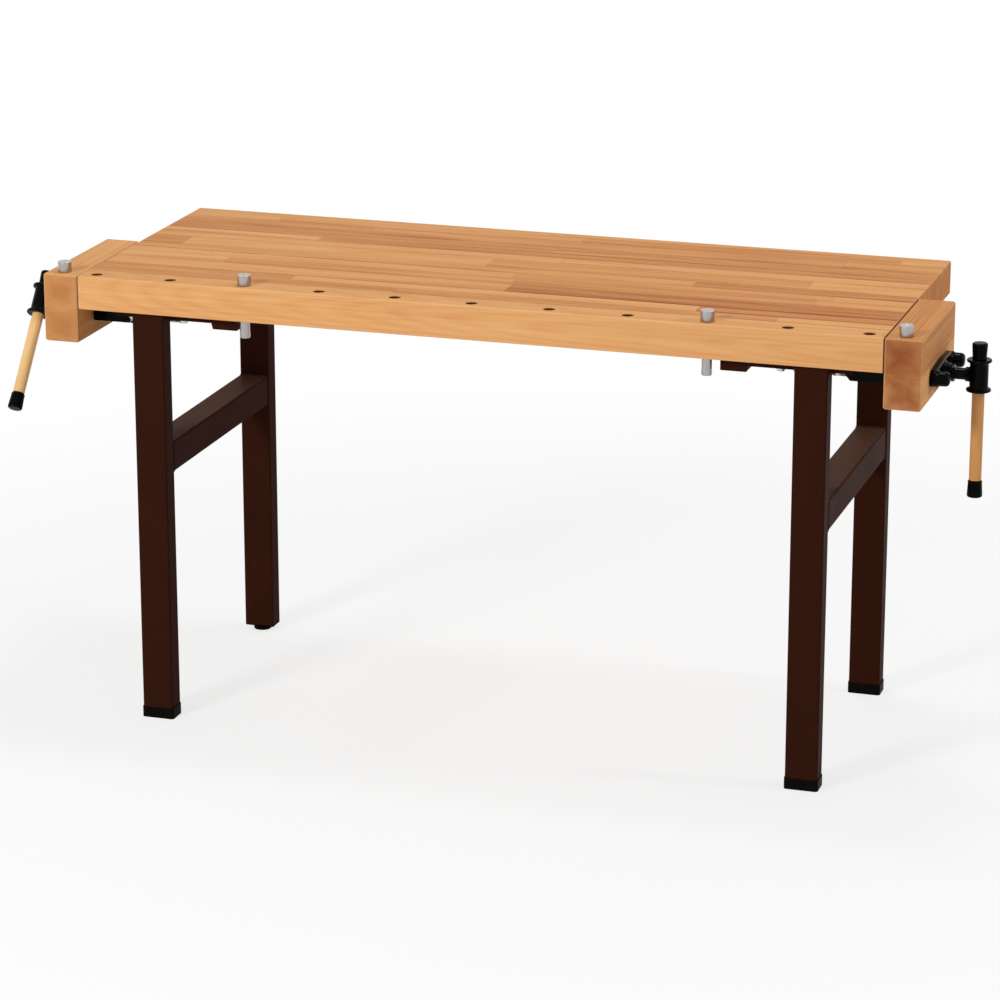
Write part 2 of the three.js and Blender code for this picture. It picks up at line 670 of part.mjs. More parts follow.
for (const side of ["left", "right"]) {
  const mirrored = side === "left";
  ["front", "back"].forEach((end, i) => {
    const levelled = mirrored && end === "back";
    const foot = levelled ? LEVEL_GAP + SEAT : CAP_FLOOR + SEAT;
    add(`${side}_${end}_leg`, leg(LEG_YS[i], ARM_YS[i], foot), BROWN, mirrored);
    add(`${side}_${end}_arm_bolt`, bolt(ARM_BOLT_X, ARM_YS[i], UNDER - ARM_H), ZINC, mirrored);
    add(`${side}_${end}_lug_bolt`, bolt(LUG_BOLT_X, ARM_YS[i], UNDER - ARM_H), ZINC, mirrored);
    if (levelled) {
      add("levelling_plug", levelPlug(LEG_YS[i]), BLACK_PLASTIC, mirrored);
      add("levelling_screw", levelScrew(LEG_YS[i]), ZINC, mirrored);
      add("levelling_pad", levelPad(LEG_YS[i]), BLACK_PLASTIC, mirrored);
    } else {
      add(`${side}_${end}_foot_cap`, footCap(LEG_YS[i]), BLACK_PLASTIC, mirrored);
    }
  });
  add(`${side}_side_rail`, sideRail(), BROWN, mirrored);
  add(`${side}_top_bearer`, topBearer(), BROWN, mirrored);

  const tilt = mirrored ? LEFT_HANDLE_TILT : RIGHT_HANDLE_TILT;
  add(`${side}_jaw`, jaw(), JAW_WOOD, mirrored);
  add(`${side}_vise_flange`, flange(), BLACK_IRON, mirrored);
  const guideOut = FLANGE_IN + GUIDE_SEAT;
  ["front", "back"].forEach((end, i) => {
    const rod = barX(GUIDE_R, GUIDE_IN, guideOut, GUIDE_YS[i], GUIDE_Z, ROUND);
    add(`${side}_${end}_guide_rod`, rod, STEEL, mirrored);
  });
  add(`${side}_vise_screw`, viseScrew(), BLACK_IRON, mirrored);
  add(`${side}_retaining_ring`, retainingRing(), STEEL, mirrored);
  add(`${side}_handle_hub`, hub(tilt), BLACK_IRON, mirrored);
  add(`${side}_handle_bar`, handleBar(tilt), HANDLE_WOOD, mirrored);
  add(`${side}_handle_grip_upper`, handleGrip(tilt, true), BLACK_PLASTIC, mirrored);
  add(`${side}_handle_grip_lower`, handleGrip(tilt, false), BLACK_PLASTIC, mirrored);
  add(`${side}_vise_bracket`, bracket(), BLACK_IRON, mirrored);
  add(`${side}_vise_nut`, viseNut(), BRONZE, mirrored);
  BRACKET_BOLT_XS.forEach((x, i) => {
    BRACKET_BOLT_YS.forEach((y, j) => {
      const name = `${side}_bracket_bolt_${2 * i + j + 1}`;
      add(name, bolt(x, y, UNDER - BRACKET_PLATE), ZINC, mirrored);
    });
  });
  add(`${side}_jaw_dog`, dog(TOP_END + JAW_DOG_OUT), SATIN, mirrored);
  add(`${side}_top_dog`, dog(TOP_DOG_HOLE * DOG_PITCH), SATIN, mirrored);
}

export default bench;
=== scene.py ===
"""Looks of a woodworking bench: laminated beech top, two end vises and two brown steel end frames."""
import json
import math

import bmesh
import bpy
import numpy as np
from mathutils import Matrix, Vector

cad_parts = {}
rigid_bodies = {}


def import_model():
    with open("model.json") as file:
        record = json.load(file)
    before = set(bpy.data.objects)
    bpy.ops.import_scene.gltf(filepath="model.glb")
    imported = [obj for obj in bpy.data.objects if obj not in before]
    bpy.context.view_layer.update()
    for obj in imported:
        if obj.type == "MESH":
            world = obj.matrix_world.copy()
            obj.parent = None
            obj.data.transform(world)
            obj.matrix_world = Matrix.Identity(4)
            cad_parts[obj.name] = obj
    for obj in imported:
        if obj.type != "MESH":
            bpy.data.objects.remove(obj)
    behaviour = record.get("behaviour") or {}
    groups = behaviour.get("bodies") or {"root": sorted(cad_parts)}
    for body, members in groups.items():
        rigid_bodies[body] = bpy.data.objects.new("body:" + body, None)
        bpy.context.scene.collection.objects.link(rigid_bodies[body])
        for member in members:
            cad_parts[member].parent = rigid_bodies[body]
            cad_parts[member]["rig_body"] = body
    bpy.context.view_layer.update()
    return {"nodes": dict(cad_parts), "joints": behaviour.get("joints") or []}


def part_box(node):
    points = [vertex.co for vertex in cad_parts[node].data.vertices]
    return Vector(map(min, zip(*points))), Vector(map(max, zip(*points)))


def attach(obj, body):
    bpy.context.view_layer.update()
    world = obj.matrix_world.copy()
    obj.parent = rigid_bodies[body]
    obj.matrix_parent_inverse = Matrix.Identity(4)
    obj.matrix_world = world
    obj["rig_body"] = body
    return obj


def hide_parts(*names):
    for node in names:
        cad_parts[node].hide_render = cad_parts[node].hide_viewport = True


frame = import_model()


# Places, in metres, read from the frame

MM = 0.001
TURN = 2 * math.pi
UP = (0.0, 0.0, 1.0)
SIDES = {"left": -1.0, "right": 1.0}
ENDS = {"front": -1.0, "back": 1.0}


def middle(node):
    """The middle of a node's box at rest."""
    low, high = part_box(node)
    return (low + high) / 2


def span(node):
    """How far out from the bench's middle a node starts and stops along X, in millimetres."""
    low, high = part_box(node)
    return sorted((abs(low.x) / MM, abs(high.x) / MM))


def heights(node, ground):
    """How far above a height a node starts and stops along Z, in millimetres."""
    low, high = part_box(node)
    return (low.z - ground) / MM, (high.z - ground) / MM


def half_size(node):
    """Half of the size of a node's box along X, Y and Z, in millimetres."""
    low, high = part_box(node)
    return (high - low) / (2 * MM)


def level_axis(node):
    """Where a node's own axis along X crosses the bench's middle."""
    return middle(node) * Vector((0.0, 1.0, 1.0))


def upright_axis(node, height):
    """Where a node's own upright axis crosses a height."""
    return Vector((middle(node).x, middle(node).y, height))


def hub_spot(side):
    """Where the axis of the vise screw crosses that of the handle."""
    screw = middle(f"{side}_vise_screw")
    return Vector((middle(f"{side}_handle_bar").x, screw.y, screw.z))


def handle_way(side):
    """The direction up a handle, which is the way that it slides."""
    joint = next(row for row in frame["joints"] if row["name"] == f"{side}_handle_slide")
    return np.array(joint["axis"], float)


TOP_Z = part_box("worktop")[1].z
DOG_Y = middle("right_top_dog").y
# The right dog of the top stands in the third hole out from the middle one
HOLE_PITCH = middle("right_top_dog").x / 3
JAW_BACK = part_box("right_jaw")[1].y
SEAM_X = (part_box("worktop")[1].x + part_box("right_jaw")[0].x) / 2
LEVEL_SPOT = upright_axis("levelling_pad", 0.0)


# Shader maths

class Value:
    """A socket that takes part in sums. An expression on it adds the Math nodes it needs."""

    def __init__(self, nodes, socket):
        self.nodes = nodes
        self.socket = socket

    def math(self, operation, *terms):
        """One Math node with these terms on its sockets."""
        return self.nodes.node("Math", {"operation": operation}, dict(enumerate(terms)))

    def __add__(self, other):
        return self.math("ADD", self, other)

    def __sub__(self, other):
        return self.math("SUBTRACT", self, other)

    def __mul__(self, other):
        return self.math("MULTIPLY", self, other)

    def __truediv__(self, other):
        return self.math("DIVIDE", self, other)

    def __pow__(self, other):
        return self.math("POWER", self, other)

    def __radd__(self, other):
        return self.math("ADD", other, self)

    def __rsub__(self, other):
        return self.math("SUBTRACT", other, self)

    def __abs__(self):
        return self.math("ABSOLUTE", self)

    def floor(self):
        return self.math("FLOOR", self)

    def sine(self):
        return self.math("SINE", self)

    def least(self, other):
        return self.math("MINIMUM", self, other)

    def most(self, other):
        return self.math("MAXIMUM", self, other)

    def below(self, limit):
        return self.math("LESS_THAN", self, limit)

    def step(self, low, high):
        """0 up to low, 1 from high, and a smooth rise between them."""
        limits = {"Value": self, "From Min": low, "From Max": high}
        return self.nodes.node("MapRange", {"interpolation_type": "SMOOTHSTEP"}, limits)


class Nodes:
    """A node tree with the one way in which nodes are added to it."""

    def __init__(self, tree):
        self.tree = tree

    def node(self, kind, settings=None, inputs=None, out=0):
        """Adds a node of this kind, sets its settings, then the values or links of its sockets."""
        made = self.tree.nodes.new("ShaderNode" + kind)
        for key, value in (settings or {}).items():
            if key == "stops":
                ramp = made.color_ramp.elements
                for place, _ in value[2:]:
                    ramp.new(place)
                for stop, (place, colour) in zip(ramp, value):
                    stop.position = place
                    stop.color = (*colour, 1.0)
            else:
                setattr(made, key, value)
        for key, value in (inputs or {}).items():
            self.feed(made.inputs[key], value)
        return Value(self, made.outputs[out])

    def feed(self, socket, value):
        """Links a value to a socket, or sets a number or colour on it."""
        if isinstance(value, Value):
            self.tree.links.new(value.socket, socket)
        else:
            socket.default_value = value

    def place(self, centre=(0.0, 0.0, 0.0), turn=(0.0, 0.0, 0.0)):
        """Object coordinates, seen from a centre and a turn of the piece's own."""
        inputs = {"Vector": self.node("TexCoord", out="Object"), "Location": centre, "Rotation": turn}
        return self.node("Mapping", {"vector_type": "TEXTURE"}, inputs)

    def facing(self):
        """The surface's direction in object coordinates, as three values."""
        return self.split(self.node("TexCoord", out="Normal"))

    def split(self, vector):
        made = self.node("SeparateXYZ", inputs={0: vector})
        return [Value(self, made.socket.node.outputs[i]) for i in range(3)]

    def join(self, x, y, z):
        return self.node("CombineXYZ", inputs={0: x, 1: y, 2: z})

    def noise(self, vector, scale, detail=3.0, rough=0.55, warp=0.0):
        inputs = {"Vector": vector, "Scale": scale, "Detail": detail}
        return self.node("TexNoise", inputs={**inputs, "Roughness": rough, "Distortion": warp})

    def scatter(self, x, y, z):
        """Three random numbers for each whole-number place."""
        inputs = {"Vector": self.join(x, y, z)}
        colour = self.node("TexWhiteNoise", {"noise_dimensions": "3D"}, inputs, out="Color")
        made = self.node("SeparateColor", inputs={0: colour})
        return [Value(self, made.socket.node.outputs[i]) for i in range(3)]

    def mix(self, share, first, second):
        """Colours mixed by a share from 0 to 1."""
        settings = {"data_type": "RGBA", "clamp_factor": True}
        return self.node("Mix", settings, {0: share, 6: first, 7: second}, out=2)

    def ramp(self, share, stops):
        return self.node("ValToRGB", {"stops": stops}, {0: share})

    def plain_rays(self):
        """1 for rays from the camera, off metal and through glass, and 0 for those that light the bench."""
        names = ("Is Camera Ray", "Is Glossy Ray", "Is Transmission Ray")
        camera, glossy, through = (self.node("LightPath", out=name) for name in names)
        return camera.most(glossy).most(through)


class Finish(Nodes):
    """One material: constants on its shader, then what changes over the surface."""

    def __init__(self, name, constants):
        self.material = bpy.data.materials.new(name)
        self.material.use_nodes = True
        super().__init__(self.material.node_tree)
        self.shader = self.tree.nodes["Principled BSDF"]
        for socket, value in constants.items():
            self.shader.inputs[socket].default_value = value

    def lay(self, relief, depth, **sockets):
        """Feeds the shader's sockets, and turns the relief into a bump of this depth."""
        for name, value in sockets.items():
            self.feed(self.shader.inputs[name.replace("_", " ")], value)
        bump = self.node("Bump", inputs={"Height": relief, "Strength": 1.0, "Distance": depth})
        self.feed(self.shader.inputs["Normal"], bump)
        return self


# Wood

BEECH = [
    (0.00, (0.810, 0.450, 0.190)),
    (0.30, (0.720, 0.352, 0.134)),
    (0.55, (0.605, 0.264, 0.098)),
    (0.78, (0.490, 0.182, 0.064)),
    (1.00, (0.325, 0.104, 0.036)),
]
ASH = [
    (0.0, (0.86, 0.56, 0.255)),
    (0.3, (0.71, 0.37, 0.125)),
    (0.6, (0.58, 0.265, 0.085)),
    (1.0, (0.36, 0.14, 0.045)),
]
GLUE = (0.22, 0.085, 0.03, 1.0)
# Pale line along every edge of the beech: partly rubbed wear, partly a painted highlight on the arris
EDGE_WEAR_AND_HIGHLIGHT = (0.86, 0.56, 0.29, 1.0)
# Painted shade: near black laid inside the dog holes and in the gap between a jaw and the top
PAINTED_HOLE_AND_SEAM_SHADE = (0.028, 0.011, 0.005, 1.0)

# Widths and distances in the wood, in metres. A pair is where a change starts and where it is complete
BEECH_RING = 0.0062
ASH_RING = 0.0034
GLUE_WIDTH = 0.0011
BUTT_WIDTH = 0.0014
HEART_DEPTH = (0.002, 0.026)
EDGE_WEAR_AND_HIGHLIGHT_WIDTH = (0.0012, 0.0042)
BORE_WALL = (0.0101, 0.0110)
SEAM_WIDTH = (0.0006, 0.0018)
SEAM_DEPTH = (0.002, 0.005)
SEAM_FADE = 0.004


def edge_distance(spot, low, high):
    """How far a point on a block's surface is from the nearest edge: the middle one of its three depths
    below the block's pairs of faces."""
    depths = [(h - l) / 2 - abs(v - (h + l) / 2) for v, l, h in zip(spot, low, high)]
    small = depths[0].least(depths[1])
    large = depths[0].most(depths[1])
    return small.most(large.least(depths[2]))


class Lamination:
    """Where a point lies among staves glued side by side and cut into boards. The first stave is one whole
    board. It keeps the share across the stave, the share along the board, and random numbers for both."""

    def __init__(self, wood, along, across, start, stave, uneven, boards, seed):
        count = (across - start) / stave
        count = count + (count * 1.7 + seed).sine() * uneven
        row = count.floor()
        self.stave = stave
        self.inside = count - row
        self.first = row.below(0.5)
        self.luck = wood.scatter(row, seed, 0.5)
        run = (along / (self.luck[0] * boards[1] + boards[0]) + self.luck[1] * 9.0) * (1.0 - self.first)
        run = run + self.first * 0.5
        board = run.floor()
        self.butt = run - board
        self.board = boards[0]
        self.toss = wood.scatter(row, board, seed + 0.5)

    def rim(self):
        """How far a point is from the nearer side of its stave."""
        return self.inside.least(1.0 - self.inside) * self.stave

    def joint(self):
        """1 on the glue lines between staves, and a little less on the butts between boards."""
        glue = 1.0 - self.rim().step(0.0, GLUE_WIDTH)
        butt = 1.0 - (self.butt.least(1.0 - self.butt) * self.board).step(0.0, BUTT_WIDTH)
        return glue.most(butt * 0.7)


def growth_rings(wood, along, across, depth, boards):
    """Rings about a heart line beside each board. The line leans and wanders along the board."""
    toss, first = boards.toss, boards.first
    drift = wood.noise(wood.join(along * 1.1 + toss[0] * 40.0, across * 7.0, depth * 7.0), 1.0, 2.0) - 0.5
    lean = along * (toss[2] - 0.5) * 0.16 + drift * 0.035
    beside = (boards.inside - 0.5) * boards.stave + (toss[1] - 0.5) * 0.09 + lean
    beside = beside * (1.0 - first) + (0.045 - along * 0.05 + drift * 0.05) * first
    under = depth + (0.035 + toss[0] * 0.08) * (1.0 - first) + drift * 0.03
    radius = (beside * beside + under * under) ** 0.5
    return ((radius * (TURN / BEECH_RING)).sine() * 0.5 + 0.5) ** 1.6


def end_grain(wood, rim, across, deep, ring, pores, board_tone, tint):
    """Sawn ends, which soak up the oil: pores, rings, stains in bands through the stave, and a darker heart
    away from its rim."""
    bands = wood.noise(wood.join(0.0, across * 26.0, deep * 13.0), 1.0, 3.0, 0.55, 0.3)
    heart = rim.step(*HEART_DEPTH)
    shade = 0.30 + heart * 0.10 + (ring - 0.5) * 0.09 + (pores - 0.5) * 0.30 + (bands - 0.5) * 0.45
    soaked = 0.56 + heart * 0.20 + (bands - 0.5) * 0.70 + board_tone * 0.25
    return wood.mix(soaked, wood.ramp(shade, BEECH), (*tint, 1.0))


def painted_bore_shade(spot, first_x, pitch):
    """1 inside the dog holes, which stand in a row along X: the mask of the shade painted in them."""
    away = spot[0] - first_x
    away = away - (away / pitch + 0.5).floor() * pitch
    aside = spot[1] - DOG_Y
    return 1.0 - ((away * away + aside * aside) ** 0.5).step(*BORE_WALL)


def painted_seam_shade(spot, edge):
    """1 on the edges that a closed jaw and the end of the top turn to each other: the mask of a painted
    shade line in the gap between them.
    """
    away = abs(abs(spot[0]) - SEAM_X).step(*SEAM_WIDTH)
    beside_jaw = 1.0 - spot[1].step(JAW_BACK - SEAM_FADE, JAW_BACK)
    return (1.0 - away) * (1.0 - edge.step(*SEAM_DEPTH)) * beside_jaw


def glued_beech(name, box, grain, start, stave, uneven, boards, tone, pale_first, end_tint, seed, holes):
    """Beech staves glued side by side. Each board has its own tone and rings, with streaks, lines and
    fibres drawn out along it, clouds and short ray flecks. The grain lists which of X, Y and Z runs along,
    across and through the boards. Boards are the first length long, and up to the second length longer."""
    gloss = {"IOR": 1.5, "Specular IOR Level": 0.006, "Coat Roughness": 0.25, "Coat IOR": 1.35}
    wood = Finish(name, gloss)
    spot = wood.split(wood.place())
    along, across, deep = (spot[i] for i in grain)
    layers = Lamination(wood, along, across, start, stave, uneven, boards, seed)
    toss, first = layers.toss, layers.first
    ring = growth_rings(wood, along, across, deep - (box[0][grain[2]] + box[1][grain[2]]) / 2, layers)

    def drawn_out(length, fineness, detail, rough=0.55, shift=0.0):
        spread = wood.join(along * length + shift, across * fineness, deep * fineness)
        return wood.noise(spread, 1.0, detail, rough)

    streak = drawn_out(1.5, 60.0, 4.0, 0.6, toss[1] * 50.0)
    line = drawn_out(2.4, 210.0, 3.0, 0.6, toss[2] * 20.0)
    cloud = drawn_out(4.0, 16.0, 2.0, 0.55, toss[2] * 30.0)
    fibre = drawn_out(14.0, 520.0, 2.0, 0.6)
    fleck = drawn_out(110.0, 700.0, 1.0).step(0.64, 0.74)

    board_tone = (toss[0] * 0.40 + toss[1] ** 5.0 * 0.34) * (1.0 - first * pale_first)
    border = 1.0 - (layers.inside / (0.12 + layers.luck[2] * 0.26)).step(0.0, 1.0)
    border = border * toss[2] * (cloud * 1.8 - 0.3) * (1.0 - first)
    shade = tone + board_tone * 0.85 + (streak - 0.5) * (0.66 - first * 0.28) + (line - 0.5) * 0.58
    shade = shade + ring * 0.10 + (cloud - 0.5) * 0.25 + border * 0.70 + (fibre - 0.5) * 0.10 + fleck * 0.07

    edge = edge_distance(spot, *box)
    ends = abs(wood.facing()[grain[0]]).step(0.6, 0.8)
    pores = wood.noise(wood.place(), 900.0, 2.0, 0.7)
    sawn = end_grain(wood, edge.least(layers.rim()), across, deep, ring, pores, board_tone, end_tint)
    joint = layers.joint() * (1.0 - ends * 0.6)
    colour = wood.mix(ends, wood.ramp(shade, BEECH), sawn)
    colour = wood.mix(joint * 0.22, colour, GLUE)
    # Paler along the edges: rubbed wear and a painted highlight where light catches the arris
    colour = wood.mix((1.0 - edge.step(*EDGE_WEAR_AND_HIGHLIGHT_WIDTH)) * 0.22, colour, EDGE_WEAR_AND_HIGHLIGHT)
    # Painted shade: darkened inside the dog holes and along the gap between a jaw and the top
    dark = (painted_bore_shade(spot, *holes) * 0.9).most(painted_seam_shade(spot, edge) * 0.75)
    colour = wood.mix(dark, colour, PAINTED_HOLE_AND_SEAM_SHADE)
    handled = wood.noise(wood.place(), 7.0, 4.0, 0.65)
    return wood.lay(
        streak * 0.25 + fibre * 0.45 + ring * 0.20 - joint * 0.8 - fleck * 0.2 + pores * ends * 0.8,
        0.00035,
        Base_Color=colour,
        Roughness=0.44 + (handled - 0.5) * 0.22 + (fibre - 0.5) * 0.12 + ends * 0.14,
        Coat_Weight=(0.015 - ends * 0.012) * (0.6 + handled * 0.8),
    )


def turned_ash(side, tone):
    """Straight-grained turned wood: long fine rings and pores along the handle, with a thin varnish."""
    gloss = {"IOR": 1.5, "Specular IOR Level": 0.10, "Coat Roughness": 0.16, "Coat IOR": 1.4}
    wood = Finish(f"{side}_turned_ash", gloss)
    way = handle_way(side)
    x, y, z = wood.split(wood.place(hub_spot(side), (-math.atan2(way[1], way[2]), 0.0, 0.0)))
    drift = wood.noise(wood.join(x * 25.0, y * 25.0, z * 3.0), 1.0, 2.0) - 0.5
    offset = x + 0.021 + z * 0.02 + drift * 0.006
    ring = ((offset * offset + y * y) ** 0.5 * (TURN / ASH_RING)).sine() * 0.5 + 0.5
    fibre = wood.noise(wood.join(x * 700.0, y * 700.0, z * 24.0), 1.0, 3.0, 0.6)
    cloud = wood.noise(wood.join(x * 40.0, y * 40.0, z * 9.0), 1.0, 2.0)
    shade = tone + ring * 0.12 + (fibre - 0.5) * 0.30 + (cloud - 0.5) * 0.34
    return wood.lay(
        ring * 0.4 + fibre * 0.6,
        0.00025,
        Base_Color=wood.ramp(shade, ASH),
        Roughness=0.34 + (fibre - 0.5) * 0.2,
        Coat_Weight=0.14 + (cloud - 0.5) * 0.1,
    )


# Paint, plastic and metal

PAINT_DEEP = (0.0285, 0.0078, 0.0042, 1.0)
PAINT_PALE = (0.0380, 0.0112, 0.0058, 1.0)
# Painted sheen: a paler colour laid on the faces that look up
PAINT_TOP_SHEEN = (0.115, 0.063, 0.043, 1.0)
PAINT_SCUFF = (0.095, 0.058, 0.040, 1.0)
SCUFF_HEIGHT = (0.03, 0.30)
ENAMEL_FRESH = (0.0008, 0.0008, 0.0009, 1.0)
ENAMEL_GREYED = (0.0030, 0.0028, 0.0027, 1.0)
TOOL_MARK = 0.0010


def brown_paint():
    """Dark brown baked paint: orange-peel skin, faint tone changes, dull scuffs towards the floor and a
    painted sheen, paler, on the faces that look up."""
    paint = Finish("brown_paint", {"IOR": 1.5, "Specular IOR Level": 0.005})
    spot = paint.place()
    height = paint.split(spot)[2]
    peel = paint.noise(spot, 520.0, 2.0, 0.5)
    cloud = paint.noise(spot, 6.0, 3.0, 0.6)
    scuff = paint.noise(paint.node("Mapping", inputs={"Vector": spot, "Scale": (60, 60, 9)}), 1.0, 5.0, 0.7)
    rubbed = scuff.step(0.62, 0.74) * (1.0 - height.step(*SCUFF_HEIGHT)) * 0.5
    colour = paint.mix(cloud, PAINT_DEEP, PAINT_PALE)
    # Painted sheen: faces that look up turn paler, standing in for the reflection of the bright room
    top_sheen = paint.facing()[2].step(0.80, 0.97) * (0.55 + cloud * 0.45)
    colour = paint.mix(top_sheen, colour, PAINT_TOP_SHEEN)
    return paint.lay(
        peel,
        0.00012,
        Base_Color=paint.mix(rubbed * 0.35, colour, PAINT_SCUFF),
        Roughness=0.40 + (cloud - 0.5) * 0.18 + rubbed * 0.3,
    )


def black_enamel(name, lump, rough):
    """Black enamel over a sand casting: a lumpy skin that catches small highlights, greyer in places."""
    enamel = Finish(name, {"IOR": 1.5, "Specular IOR Level": 0.05})
    spot = enamel.place()
    sand = enamel.noise(spot, 420.0, 3.0, 0.6)
    swell = enamel.noise(spot, 90.0, 2.0, 0.5)
    worn = enamel.noise(spot, 55.0, 4.0, 0.65)
    return enamel.lay(
        sand * 0.5 + swell * 0.9,
        lump,
        Base_Color=enamel.mix(worn.step(0.55, 0.8), ENAMEL_FRESH, ENAMEL_GREYED),
        Roughness=rough + (worn - 0.5) * 0.14 + (sand - 0.5) * 0.06,
    )


def black_plastic(name, tint, worn, shine, rough):
    """Moulded black plastic with a fine spark-eroded grain, a little smoother where it is rubbed."""
    plastic = Finish(name, {"IOR": 1.46, "Specular IOR Level": shine})
    spot = plastic.place()
    grain = plastic.noise(spot, 1500.0, 2.0, 0.6)
    handled = plastic.noise(spot, 38.0, 3.0, 0.6)
    return plastic.lay(
        grain,
        0.00003,
        Base_Color=plastic.mix(handled, (*tint, 1.0), (*worn, 1.0)),
        Roughness=rough + (handled - 0.5) * 0.16 + (grain - 0.5) * 0.06,
    )


def turned_metal(name, centre, turn, tint, dark, rough, metallic):
    """Metal from the lathe: fine tool marks round the piece's own axis, and a little dull bloom."""
    metal = Finish(name, {"Specular IOR Level": 0.5})
    spot = metal.place(centre, turn)
    x, y, z = metal.split(spot)
    marks = metal.noise(metal.join((z + (x * x + y * y) ** 0.5) / TOOL_MARK, 0.0, 0.0), 1.0, 3.0, 0.7)
    bloom = metal.noise(spot, 70.0, 4.0, 0.6)
    return metal.lay(
        marks,
        0.000012,
        Base_Color=metal.mix(bloom.step(0.45, 0.8) * 0.4, (*tint, 1.0), (*dark, 1.0)),
        Roughness=rough + (marks - 0.5) * 0.16 + (bloom - 0.5) * 0.14,
        Metallic=metallic + (bloom - 0.5) * 0.1,
    )


def zinc_plate():
    """Zinc-plated steel: a pale metal with a faint yellow mottle and dull handling marks."""
    zinc = Finish("zinc_plate", {"Metallic": 1.0})
    spot = zinc.place()
    mottle = zinc.noise(spot, 240.0, 3.0, 0.6)
    bloom = zinc.noise(spot, 45.0, 3.0, 0.6)
    return zinc.lay(
        mottle,
        0.00004,
        Base_Color=zinc.ramp(bloom, [(0.2, (0.66, 0.65, 0.62)), (0.8, (0.60, 0.55, 0.42))]),
        Roughness=0.36 + (mottle - 0.5) * 0.24 + (bloom - 0.5) * 0.1,
    )


def bronze():
    """Cast and machined bronze, browner in patches where oil has sat."""
    alloy = Finish("bronze", {"Metallic": 1.0})
    spot = alloy.place()
    oil = alloy.noise(spot, 60.0, 4.0, 0.6)
    scratch = alloy.noise(alloy.node("Mapping", inputs={"Vector": spot, "Scale": (40, 900, 900)}), 1.0, 2.0)
    return alloy.lay(
        scratch,
        0.00005,
        Base_Color=alloy.ramp(oil, [(0.3, (0.62, 0.40, 0.16)), (0.7, (0.40, 0.23, 0.09))]),
        Roughness=0.36 + (oil - 0.5) * 0.3 + (scratch - 0.5) * 0.1,
    )


# Surfaces. A profile has rows of radius and height in millimetres, some with an ease of their own

ARC_SHARE = 0.45
DOUBLED = 0.002 * MM
SAME_PLANE = math.radians(0.5)
CRISP = math.radians(38)
BEVELLED = math.radians(40)


def eased(points, ease, steps=4):
    """A profile whose inner corners become quadratic arcs. Each arc starts and ends this far from its
    corner, or as far as the corner's own third value, and takes at most ARC_SHARE of a side. The first and
    last sides have one arc each, so the share is doubled there."""
    p = np.array([row[:2] for row in points], float)
    reach = np.array([row[2] if len(row) > 2 else ease for row in points[1:-1]])[:, None]
    side = np.diff(p, axis=0)
    length = np.linalg.norm(side, axis=1, keepdims=True)
    room = length * ARC_SHARE
    room[[0, -1]] *= 2
    way = side / length
    at = p[1:-1]
    before = (at - way[:-1] * np.minimum(reach, room[:-1]))[:, None]
    after = (at + way[1:] * np.minimum(reach, room[1:]))[:, None]
    t = np.linspace(0.0, 1.0, steps + 1)[None, :, None]
    arc = (1 - t) ** 2 * before + 2 * t * (1 - t) * at[:, None] + t**2 * after
    return np.vstack([p[:1], arc.reshape(-1, 2), p[-1:]])


def spun(radius, height, origin, axis, sides):
    """Points at origin + height along the axis + radius in the direction of each angle. Heights are one to
    a row, and radii one to a row or one for each row and angle, both in millimetres."""
    axis = np.asarray(axis, float)
    square = np.cross(axis, (0.0, 1.0, 0.0) if abs(axis[1]) < 0.9 else (1.0, 0.0, 0.0))
    square = square / np.linalg.norm(square)
    angle = np.arange(sides) / sides * TURN
    ring = np.cos(angle)[:, None] * square + np.sin(angle)[:, None] * np.cross(axis, square)
    radius = np.asarray(radius, float).reshape(len(height), -1, 1)
    rise = np.asarray(height, float)[:, None, None] * axis
    return np.asarray(origin, float) + (rise + radius * ring) * MM


def turned(points, origin, axis, ease=0.8, sides=56):
    """A lathe piece: its eased profile spun about the axis."""
    profile = eased(points, ease)
    return spun(profile[:, 0], profile[:, 1], origin, axis, sides)


def threaded(root, crest, lead, low, high, origin, axis, sides=40, rows=12):
    """A screw thread. Radius follows phase = height / lead - angle / full turn: flat crest, sloping flanks
    and flat root, with the thread fading in over one lead at both ends. Both ends close on the axis."""
    height = np.linspace(low, high, int((high - low) / lead * rows) + 1)
    phase = height[:, None] / lead - np.arange(sides)[None, :] / sides
    wave = np.abs(phase % 1.0 - 0.5) * 2
    root_share, flank_share = 0.34, 0.30
    depth = np.clip((wave - root_share) / flank_share, 0.0, 1.0)
    fade = np.clip(np.minimum(height - low, high - height) / lead, 0.0, 1.0)[:, None]
    radius = crest - (crest - root) * (1 - depth) * fade
    pole = np.zeros((1, sides))
    rows_up = np.concatenate([[low], height, [high]])
    return spun(np.vstack([pole, radius, pole]), rows_up, origin, axis, sides)


def hexagon(corner, low, high, chamfer, origin, sides=48):
    """A hexagon head along Z. Radius is the smaller of the hexagon's reach at each angle and a cone at each
    face, and nothing in the two closing rows."""
    angle = np.arange(sides) / sides * TURN
    reach = corner * math.cos(TURN / 12) / np.cos(angle % (TURN / 6) - TURN / 12)
    broken = 0.2
    cones = np.array([
        (0.0, low), (corner - 1.15, low), (corner - 0.75, low + chamfer * 0.35), (corner, low + chamfer),
        (corner, high - broken), (corner - broken, high), (0.0, high),
    ])
    return spun(np.minimum(reach, cones[:, :1]), cones[:, 1], origin, UP, sides)


def round_outline(centres, radii, inset, count=192):
    """The outline pulled tight round several circles: for each direction, the circle that reaches furthest
    that way gives its centre plus its radius, less an inset, in that direction. Radii and inset are in
    millimetres."""
    angle = np.arange(count) / count * TURN
    way = np.stack([np.cos(angle), np.sin(angle)], axis=1)
    centres, radii = np.asarray(centres, float), np.asarray(radii, float)
    pick = (centres @ way.T + radii[:, None] * MM).argmax(axis=0)
    return centres[pick] + ((radii[pick] - inset) * MM)[:, None] * way


def settle(mesh, work):
    """Puts finished mesh work into a mesh, with every face smooth."""
    work.to_mesh(mesh)
    work.free()
    mesh.shade_smooth()


